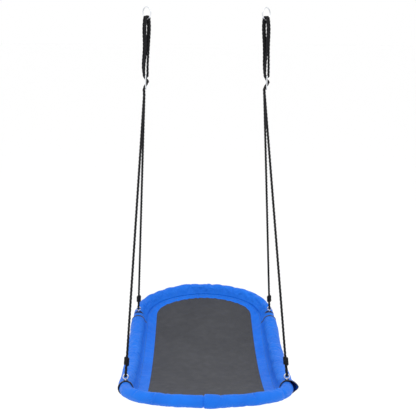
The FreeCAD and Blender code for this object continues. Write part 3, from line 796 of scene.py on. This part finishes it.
for end_name, end in ENDS.items():
    stations, rows = end_cover(end)
    held, loose = np.zeros((2, *rows.shape[:2]))
    for i, t in enumerate(stations):
        free = smooth((abs(EYE_T - abs(t)) - 0.018) / 0.04) * smooth((HEM_T - abs(t)) / 0.02)
        loose[i] = free * seam_free(rows.shape[1])
        held[i] = 0.85 * (1 - free)
        if end < 0 and abs(t - END_SEAM_T) < 0.004:
            held[i] = 0.7  # by the seam across the cover
            loose[i] *= 0.3
    held[:, 0] = 1.0
    rows = rough(rows, size=0.0007, scale=34.0, seed=11.0 + end)
    gain = 1.2 if end > 0 else 0.6
    centres = np.array([rim(end, t)[0] for t in stations])
    rows = wrinkled(rows, centres, loose, held, grow=0.05, gain=gain, foam=END_FOAM)
    half_across, half_along = EYE_HOLE[end_name]
    holes = [(*eye_frame(side, end), half_across, half_along) for side in SIDES.values()]
    name = f"end_cover_{end_name}"
    made = cover_object(name, rows, around=0.185, length=1.152, holes=holes)
    soft[name] = (made, [f"end_sleeve_{end_name}"])
    for side_name, side in SIDES.items():
        name = f"eye_binding_{end_name}_{side_name}"
        bound = eye_binding(name, side, end, half_across + 0.0008, half_along + 0.0008)
        first = end_name == "front" and side_name == "left"
        soft[name] = (bound, ["eye_hole_bindings"] if first else [])

# ---------- foam


def foam_object(name, stations, place_at, radius):
    """A foam sleeve with a bore for its tube; its face is a little uneven."""
    bore, columns = 0.0143, 40
    rows = []
    for outer, order in ((True, stations), (False, stations[::-1])):
        for station in order:
            place, out, up = place_at(station)
            shape = []
            for j in range(columns):
                a = TURN * j / columns
                direction = cos(a) * out + sin(a) * up
                reach = bore
                if outer:
                    reach = radius + 0.0004 * noise.noise(Vector(place + direction * radius) * 45.0)
                shape.append(place + direction * reach)
            rows.append(shape)
    lengths = np.arange(len(rows)) * 0.005
    return tube_object(name, np.array(rows), MATERIALS["foam"], lengths, 0.2, closed=True)


for side_name, side in SIDES.items():
    stations = np.linspace(-0.3936, 0.3936, 120)
    name = f"foam_{side_name}.core"
    made = foam_object(name, stations, lambda s: side_rim(side, s), SIDE_FOAM)
    soft[name] = (made, [f"foam_side_{side_name}"])
    for end_name, end in ENDS.items():
        stations = np.linspace(EYE_T - 0.024, 0.0002, 90) * side
        name = f"foam_{end_name}_{side_name}.core"
        made = foam_object(name, stations, lambda t: rim(end, t), END_FOAM)
        soft[name] = (made, [f"foam_end_{end_name}_{side_name}"])

# ---------- deck


class Outline:
    """A sheet's outline in the deck's own flat directions: across, and along from its middle."""

    def __init__(self, half, corner, wide, reach):
        self.half, self.corner, self.wide = half, corner, wide
        self.turn = acos((half - corner) / (wide - corner))
        self.centre = SIDE_HALF + reach - wide
        self.corner_at = self.centre + (wide - corner) * sin(self.turn)

    def length_at(self, across):
        """How far the outline reaches at a distance across."""
        x = abs(across)
        if x <= self.wide * cos(self.turn):
            return self.centre + sqrt(self.wide**2 - x * x)
        beside = min(self.corner, x - (self.half - self.corner))
        return self.corner_at + sqrt(max(0.0, self.corner**2 - beside**2))

    def loop(self, step, inset=0.0):
        """Evenly spaced points round the outline, moved in by a distance."""
        corner, wide = self.corner - inset, self.wide - inset
        near, far = np.linspace(0, self.turn, 61), np.linspace(self.turn, pi / 2, 61)
        x = np.append(self.half - self.corner + corner * np.cos(near), wide * np.cos(far))
        y = np.append(self.corner_at + corner * np.sin(near), self.centre + wide * np.sin(far))
        right = np.stack([np.append(x[::-1], x), np.append(-y[::-1], y)], 1)
        return evenly(np.vstack([right, -right, right[:1]]), step)[:-1]


END_REACH = END_CENTRE + END_RADIUS
TUCK = 0.041  # the base cloth's edge is tucked under the covers, this far in from the tubes
BASE = Outline(HALF_WIDTH - TUCK, CORNER_RADIUS - TUCK, END_RADIUS - TUCK, END_REACH - TUCK)
PANEL = Outline(0.268, 0.130, 0.370, END_REACH - 0.072)
PANEL_UP = 0.0016  # the panel's face above the base cloth
DECK_DOWN = 0.0203  # the deck's surface below the tubes' middle


def deck_point(across, along, above=0.0):
    """A point of the deck, by distances across it, along it from its middle, and above it."""
    level = above - DECK_DOWN
    if abs(along) <= SIDE_HALF:
        turn = along / SIDE_RADIUS
        radius = SIDE_RADIUS - level
        return (across, radius * sin(turn), BASE_Z + SIDE_RADIUS - radius * cos(turn))
    end = 1 if along > 0 else -1
    return tuple(rising(1, end, across, abs(along) - SIDE_HALF, level))


# The base cloth goes on with the covers' hollow side: its radius, and its width on the deck.
HOLLOW = (DECK_DOWN - SEAM_DOWN) / (1 - cos(SEAM_SLOPE))
HOLLOW_WIDE = HOLLOW * sin(SEAM_SLOPE)
GATHER = 0.016  # how far in from the seams the gathers are highest


def pucker(across, along):
    """How far the base cloth stands off its flat shape.

    It rises to its seams, and small gathers start there; further in it sags and waves a little.
    """
    reach = BASE.length_at(across)
    beside, beyond = BASE.half - abs(across), reach - abs(along)
    inwards = 1 / sqrt(1 / max(beside, 1e-4) ** 2 + 1 / max(beyond, 1e-4) ** 2)
    past_seam = inwards - (SEAM_IN - TUCK)
    short = min(HOLLOW_WIDE, max(0.0, HOLLOW_WIDE - past_seam))
    rise = HOLLOW - sqrt(HOLLOW**2 - short**2) + 0.0004
    around = atan2(along * 0.55, across) * 0.5
    wander = noise.noise(Vector((across * 7, along * 7, 1.7)))
    gather = sin(around * TURN / 0.052 + 4.0 * wander)
    gather += 0.6 * sin(around * TURN / 0.031 + 5.0 * wander + 1.0)
    near = max(0.0, past_seam) / GATHER * exp(1 - max(0.0, past_seam) / GATHER)
    strength = 0.35 + 0.65 * smooth((abs(along) - 0.30) / 0.25)
    if along > 0:
        strength *= 1.6
    broad = noise.noise(Vector((across * 4.2, along * 3.1, 9.0)))
    free = smooth(inwards / 0.10)
    return rise + 0.0011 * strength * gather * near + (0.0018 * broad - 0.003) * free


CREASES = (  # of the grey panel: across, along, length, width, angle, height
    (-0.075, 0.520, 0.10, 0.010, 0.5, 0.0020), (0.050, 0.545, 0.12, 0.012, -0.7, 0.0022),
    (0.105, 0.505, 0.09, 0.009, -1.1, 0.0018), (-0.020, 0.470, 0.14, 0.014, 0.2, 0.0015),
    (-0.170, -0.520, 0.12, 0.012, 0.8, 0.0020), (-0.120, -0.555, 0.09, 0.010, 0.4, 0.0018),
    (0.150, -0.540, 0.10, 0.012, -0.6, 0.0014), (0.010, -0.560, 0.13, 0.013, 0.05, 0.0012),
)


def folds(across, along):
    """Shallow creases of the grey panel, near its two ends."""
    height = 0.0
    for x, y, length, width, angle, size in CREASES:
        u = (across - x) * cos(angle) + (along - y) * sin(angle)
        v = (along - y) * cos(angle) - (across - x) * sin(angle)
        v += 0.010 * noise.noise(Vector((u * 14, x * 9, 2.0)))
        height += size * exp(-((u / length) ** 2) * 2 - (v / width) ** 2)
    return height


def deck_sheet(name, outline, columns, count, lift, edge_drop, material, thickness):
    """A sheet over the deck's shape: lift gives its height, and its edge turns down a little."""
    verts, flat = [], []
    for j in range(columns):
        across = outline.half * sin(pi / 2 * (2 * j / (columns - 1) - 1)) * 0.99999
        reach = outline.length_at(across)
        for i in range(count):
            along = reach * (2 * i / (count - 1) - 1)
            inwards = min(outline.half - abs(across), reach - abs(along))
            turned = edge_drop * (1 - smooth(inwards / 0.003))
            verts.append(deck_point(across, along, lift(across, along) - turned))
            flat.append((across, along))
    faces, corners = grid_faces(columns, count)
    uvs = [flat[j * count + i] for quad in corners for j, i in quad]
    made = mesh_object(name, verts, faces, material, uvs)
    if made.data.polygons[len(faces) // 2].normal.z < 0:
        made.data.flip_normals()
    thicken(made, thickness)
    return made


def panel_lift(across, along):
    """How far the grey panel stands off the deck's flat shape."""
    return pucker(across, along) + PANEL_UP + folds(across, along)


base = deck_sheet("deck_cloth", BASE, 120, 260, pucker, 0.0, MATERIALS["blue"], 0.0022)
panel = deck_sheet("grey_panel", PANEL, 110, 230, panel_lift, 0.0008, MATERIALS["grey"], 0.0010)
soft["deck_cloth"] = (base, ["deck_base"])
soft["grey_panel"] = (panel, ["deck_panel"])

STITCH, THREAD = 0.0040, 0.00055  # a stitch's length and radius
PITCH = {"panel": 0.0056, "deck": 0.0060}
STITCH_SHAPE = ((-0.5, 0.35), (-0.3, 1.0), (0.3, 1.0), (0.5, 0.35))  # shares of both
AROUND = 6


def stitches(name, loops, lift):
    """Rows of short raised stitches: each is a small rounded bar along its row."""
    verts, faces = [], []
    for points in loops:
        raised = [Vector(deck_point(*p, lift(*p) + THREAD * 0.35)) for p in points]
        for middle, following in zip(raised, raised[1:] + raised[:1]):
            ahead = (following - middle).normalized()
            across = ahead.cross(Vector((0, 0, 1))).normalized()
            up = across.cross(ahead)
            first = len(verts)
            for share, size in STITCH_SHAPE:
                for step in range(AROUND):
                    a = TURN * step / AROUND
                    spoke = across * cos(a) + up * sin(a)
                    verts.append(middle + ahead * STITCH * share + spoke * THREAD * size)
            quads, _ = grid_faces(len(STITCH_SHAPE), AROUND, closed_columns=True)
            faces += [tuple(first + corner for corner in quad) for quad in quads]
            faces.append(tuple(first + step for step in range(AROUND))[::-1])
            faces.append(tuple(len(verts) - AROUND + step for step in range(AROUND)))
    soft[name] = (mesh_object(name, verts, faces, MATERIALS["thread"]), [])


panel_loops = [PANEL.loop(PITCH["panel"], inset) for inset in (0.005, 0.011)]
stitches("panel_stitches", panel_loops, panel_lift)
stitches("deck_stitches", [BASE.loop(PITCH["deck"], SEAM_IN - TUCK + 0.006)], pucker)

# ---------- materials


class Tree:
    """Builds a material's nodes: node(kind, inputs by name or index, settings)."""

    def __init__(self, material):
        self.tree = material.node_tree
        self.shader = self.tree.nodes["Principled BSDF"]

    def node(self, kind, inputs=None, **settings):
        made = self.tree.nodes.new("ShaderNode" + kind)
        for key, value in settings.items():
            setattr(made, key, value)
        for key, value in (inputs or {}).items():
            self.plug(made.inputs[key], value)
        return made

    def plug(self, socket, value):
        if isinstance(value, bpy.types.NodeSocket):
            self.tree.links.new(value, socket)
        else:
            socket.default_value = value

    def math(self, operation, first, second=0.0):
        return self.node("Math", {0: first, 1: second}, operation=operation).outputs[0]

    def place(self):
        return self.node("TexCoord").outputs["Object"]

    def uv(self):
        return self.node("SeparateXYZ", {0: self.node("TexCoord").outputs["UV"]}).outputs

    def ribs(self, value, pitch=1.0):
        """Round ribs side by side, from 0 between them to 1 on their crowns."""
        turn = self.math("MULTIPLY", value, pi / pitch)
        return self.math("ABSOLUTE", self.math("SINE", turn))

    def noise(self, scale, detail=3.0, rough=0.5, distortion=0.0):
        inputs = {"Vector": self.place(), "Scale": scale, "Detail": detail}
        inputs.update({"Roughness": rough, "Distortion": distortion})
        return self.node("TexNoise", inputs).outputs["Fac"]

    def spread(self, value, low, high, out_low=0.0, out_high=1.0):
        inputs = {"Value": value, "From Min": low, "From Max": high}
        inputs.update({"To Min": out_low, "To Max": out_high})
        return self.node("MapRange", inputs).outputs["Result"]

    def mix(self, share, first, second, blend="MIX"):
        made = self.node("Mix", data_type="RGBA", blend_type=blend)
        self.plug(made.inputs[0], share)
        self.plug(made.inputs[6], first)
        self.plug(made.inputs[7], second)
        return made.outputs[2]

    def bump(self, height, strength, distance, under=None):
        inputs = {"Height": height, "Strength": strength, "Distance": distance}
        if under:
            inputs["Normal"] = under
        return self.node("Bump", inputs).outputs["Normal"]

    def finish(self, color, roughness, normal=None, **constants):
        self.plug(self.shader.inputs["Base Color"], color)
        self.plug(self.shader.inputs["Roughness"], roughness)
        if normal:
            self.plug(self.shader.inputs["Normal"], normal)
        for key, value in constants.items():
            self.shader.inputs[key.replace("_", " ")].default_value = value


def rgb(red, green, blue):
    """A colour from 0-255 display values."""
    def linear(x):
        x /= 255
        return x / 12.92 if x <= 0.04045 else ((x + 0.055) / 1.055) ** 2.4
    return (linear(red), linear(green), linear(blue), 1.0)


def woven(tree, pitch):
    """Height of a plain weave over UVs in metres: threads cross over and under by turns."""
    across, along = (tree.math("MULTIPLY", value, 1 / pitch) for value in tree.uv()[:2])
    vector = tree.node("CombineXYZ", {0: across, 1: along}).outputs[0]
    turn = tree.node("TexChecker", {"Vector": vector, "Scale": 1.0}).outputs["Fac"]
    over = tree.math("MULTIPLY", tree.ribs(across), turn)
    under = tree.math("MULTIPLY", tree.ribs(along), tree.math("SUBTRACT", 1.0, turn))
    return tree.math("ADD", over, under), turn


def cloth_material(key, dark, light, smudge, pitch, roughness, sheen):
    """Woven cloth: cloudy between dark and light, smudged, and with painted shade in the gaps of
    its weave.
    """
    tree = Tree(MATERIALS[key])
    height, turn = woven(tree, pitch)
    cloudy = tree.spread(tree.noise(3.1, 5.0, 0.62, distortion=0.6), 0.35, 0.68)
    color = tree.mix(cloudy, dark, light)
    worn = tree.spread(tree.noise(19.0, 6.0, 0.7), 0.56, 0.80)
    color = tree.mix(tree.math("MULTIPLY", worn, 0.35), color, smudge)
    color = tree.mix(tree.math("MULTIPLY", turn, 0.10), color, dark)
    # painted shade: where the weave is low, in the gaps between its threads, the colour is drawn
    # towards a darker dark
    gaps = tree.math("MULTIPLY", tree.spread(height, 0.0, 0.35, 1.0, 0.0), 0.35)
    color = tree.mix(gaps, color, tuple(0.45 * c for c in dark[:3]) + (1.0,))
    gloss = tree.spread(tree.noise(26.0, 4.0), 0.3, 0.7, *roughness)
    creases = tree.noise(38.0, 4.0, 0.55, distortion=0.8)
    normal = tree.bump(height, 0.5, 0.00022, tree.bump(creases, 0.35, 0.0022))
    tree.finish(
        color, gloss, normal, Sheen_Weight=sheen, Sheen_Roughness=0.4, Specular_IOR_Level=0.22
    )


cloth_material(
    "blue", rgb(4, 102, 214), rgb(12, 116, 231), rgb(38, 133, 238),
    pitch=0.0009, roughness=(0.50, 0.66), sheen=0.04,
)
cloth_material(
    "grey", rgb(61, 62, 66), rgb(69, 70, 74), rgb(88, 88, 92),
    pitch=0.0008, roughness=(0.62, 0.80), sheen=0.03,
)


def binding_material():
    """Black ribbed tape, with painted shade between its ribs and painted highlights on their
    crowns.
    """
    tree = Tree(MATERIALS["binding"])
    ribs = tree.ribs(tree.uv()[1], pitch=0.0011)
    fuzz = tree.noise(420.0, 2.0)
    # painted shade in the grooves between the ribs and painted highlights on their crowns, from the
    # same ribs as the bump
    color = tree.mix(tree.spread(ribs, 0.1, 0.9), rgb(6, 6, 8), rgb(24, 25, 30))
    color = tree.mix(tree.math("MULTIPLY", fuzz, 0.3), color, rgb(38, 39, 44))
    roughness = tree.spread(fuzz, 0.3, 0.7, 0.55, 0.75)
    tree.finish(color, roughness, tree.bump(ribs, 0.6, 0.0004), Sheen_Weight=0.2)


def thread_material():
    """Dark grey twisted thread."""
    tree = Tree(MATERIALS["thread"])
    twist = tree.noise(900.0, 1.0)
    color = tree.mix(tree.spread(twist, 0.35, 0.65), rgb(40, 42, 50), rgb(92, 95, 104))
    tree.finish(color, tree.spread(twist, 0.3, 0.7, 0.45, 0.6), tree.bump(twist, 0.4, 0.0002))


def rope_material():
    """Black twisted rope: fine yarns run nearly straight along it, with painted shade between them
    and painted highlights on their crowns, and paler worn flecks.
    """
    tree = Tree(MATERIALS["rope"])
    around, along = tree.uv()[:2]
    across = tree.math("MULTIPLY", around, 1 / 0.00085)
    yarns = tree.ribs(tree.math("ADD", across, tree.math("MULTIPLY", along, 14.0)))
    fuzz = tree.noise(600.0, 3.0, 0.6)
    # painted shade between the yarns and painted highlights on their crowns, from the same yarns as
    # the bump
    color = tree.mix(tree.spread(yarns, 0.2, 1.0), rgb(6, 6, 8), rgb(30, 30, 35))
    worn = tree.math("MULTIPLY", tree.spread(fuzz, 0.54, 0.74), 0.5)
    color = tree.mix(worn, color, rgb(54, 55, 60))
    cloudy = tree.math("MULTIPLY", tree.noise(35.0, 3.0), 0.25)
    color = tree.mix(cloudy, color, rgb(10, 10, 12))
    roughness = tree.spread(fuzz, 0.3, 0.7, 0.55, 0.75)
    tree.finish(color, roughness, tree.bump(yarns, 0.7, 0.0005), Specular_IOR_Level=0.2)


def metal_material(key, pale, dull, low, high, spangle=0.0):
    """Plated steel with fine scratches and dull patches, and a share of spangle if galvanised."""
    tree = Tree(MATERIALS[key])
    drawn = tree.node("Mapping", {"Vector": tree.place(), "Scale": (40, 40, 900)}).outputs[0]
    scratches = tree.node("TexNoise", {"Vector": drawn, "Scale": 3.0, "Detail": 4.0}).outputs["Fac"]
    patches = tree.noise(55.0, 4.0, 0.6)
    color = tree.mix(tree.spread(patches, 0.4, 0.7), pale, dull)
    if spangle:
        flakes = tree.node("TexVoronoi", {"Vector": tree.place(), "Scale": 160.0}).outputs["Color"]
        color = tree.mix(spangle, color, flakes, "OVERLAY")
    roughness = tree.spread(tree.math("ADD", scratches, patches), 0.7, 1.3, low, high)
    tree.finish(color, roughness, tree.bump(scratches, 0.12, 0.0003), Metallic=1.0)


def foam_material():
    """Dark foam with open cells."""
    tree = Tree(MATERIALS["foam"])
    cells = tree.node("TexVoronoi", {"Vector": tree.place(), "Scale": 900.0}).outputs["Distance"]
    color = tree.mix(tree.spread(cells, 0.1, 0.6), rgb(50, 50, 52), rgb(22, 22, 23))
    tree.finish(color, tree.spread(cells, 0.0, 0.7, 0.75, 0.95), tree.bump(cells, 0.6, 0.0008))


binding_material()
thread_material()
rope_material()
foam_material()
metal_material("zinc", rgb(232, 234, 238), rgb(206, 209, 214), 0.16, 0.34)
metal_material("fastener", rgb(214, 216, 220), rgb(184, 186, 190), 0.24, 0.42)
metal_material("tube", rgb(196, 199, 202), rgb(170, 173, 177), 0.34, 0.55, 0.25)

NODE_MATERIALS = {
    "zinc": ("top_ring", "adjuster", "eye_bolt"),
    "fastener": ("eye_nuts", "eye_washers", "joint_screws"),
    "tube": ("side_tube", "end_tube", "corner_spigot", "end_spigot"),
}
for name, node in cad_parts.items():
    for key, starts in NODE_MATERIALS.items():
        if name.startswith(starts):
            for slot in node.material_slots:
                slot.material = MATERIALS[key]
            shade_smooth(node.data)

# ---------- soft pieces and knots ride on the seat, the ropes' placement is baked into their meshes, and the CAD parts they stand for are hidden

for name, (piece, nodes) in soft.items():
    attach(piece, "seat")
    if nodes:
        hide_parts(*nodes)
    if name.startswith(("hem_", "eye_binding")):
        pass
    elif name.startswith("foam"):
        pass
    elif name.startswith(("side_cover", "end_cover")):
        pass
    elif name.startswith(("grey", "panel")):
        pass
    else:
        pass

for name, (piece, points, length) in cords.items():
    if name.startswith("rope_leg"):
        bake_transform(piece)
        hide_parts(name.removesuffix(".laid"))
        continue
    if "saddle" in name:
        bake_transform(piece)
    else:
        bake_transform(piece)
    if "bight" in name:
        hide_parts(name.replace("bight", "top"))
for name, piece in knots.items():
    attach(piece, "seat")
    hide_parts(name.removesuffix(".wraps"))

# ---------- floor and light

LIT = (0, 0, -1.3)  # the lamps are aimed here
LAMPS = (  # name, place, size in metres, power in watts
    ("key", (1.8, -2.8, 2.6), 2.2, 45), ("fill", (-2.6, -2.6, 0.8), 2.4, 14),
    ("top", (0.2, 0.8, 3.0), 2.6, 26),
)


def stage():
    """A wide white floor well under the swing, and soft light from above and in front."""
    bpy.ops.mesh.primitive_plane_add(size=400, location=(0, 0, -3.4))
    floor = bpy.context.object
    floor.name = "floor"
    material = bpy.data.materials.new("floor")
    material.use_nodes = True
    Tree(material).finish((1.0, 1.0, 1.0, 1.0), 0.9)
    floor.data.materials.append(material)
    world = bpy.data.worlds.new("studio")
    world.use_nodes = True
    bpy.context.scene.world = world
    background = world.node_tree.nodes["Background"]
    background.inputs["Color"].default_value = (1, 1, 1, 1)
    background.inputs["Strength"].default_value = 1.0
    for name, place, size, power in LAMPS:
        lamp = bpy.data.lights.new(name, "AREA")
        lamp.size, lamp.energy = size, power
        holder = bpy.data.objects.new(name, lamp)
        holder.location = place
        aim = Vector(LIT) - Vector(place)
        holder.rotation_euler = aim.to_track_quat("-Z", "Y").to_euler()
        link(holder)
    bpy.context.scene.view_settings.view_transform = "Standard"


stage()
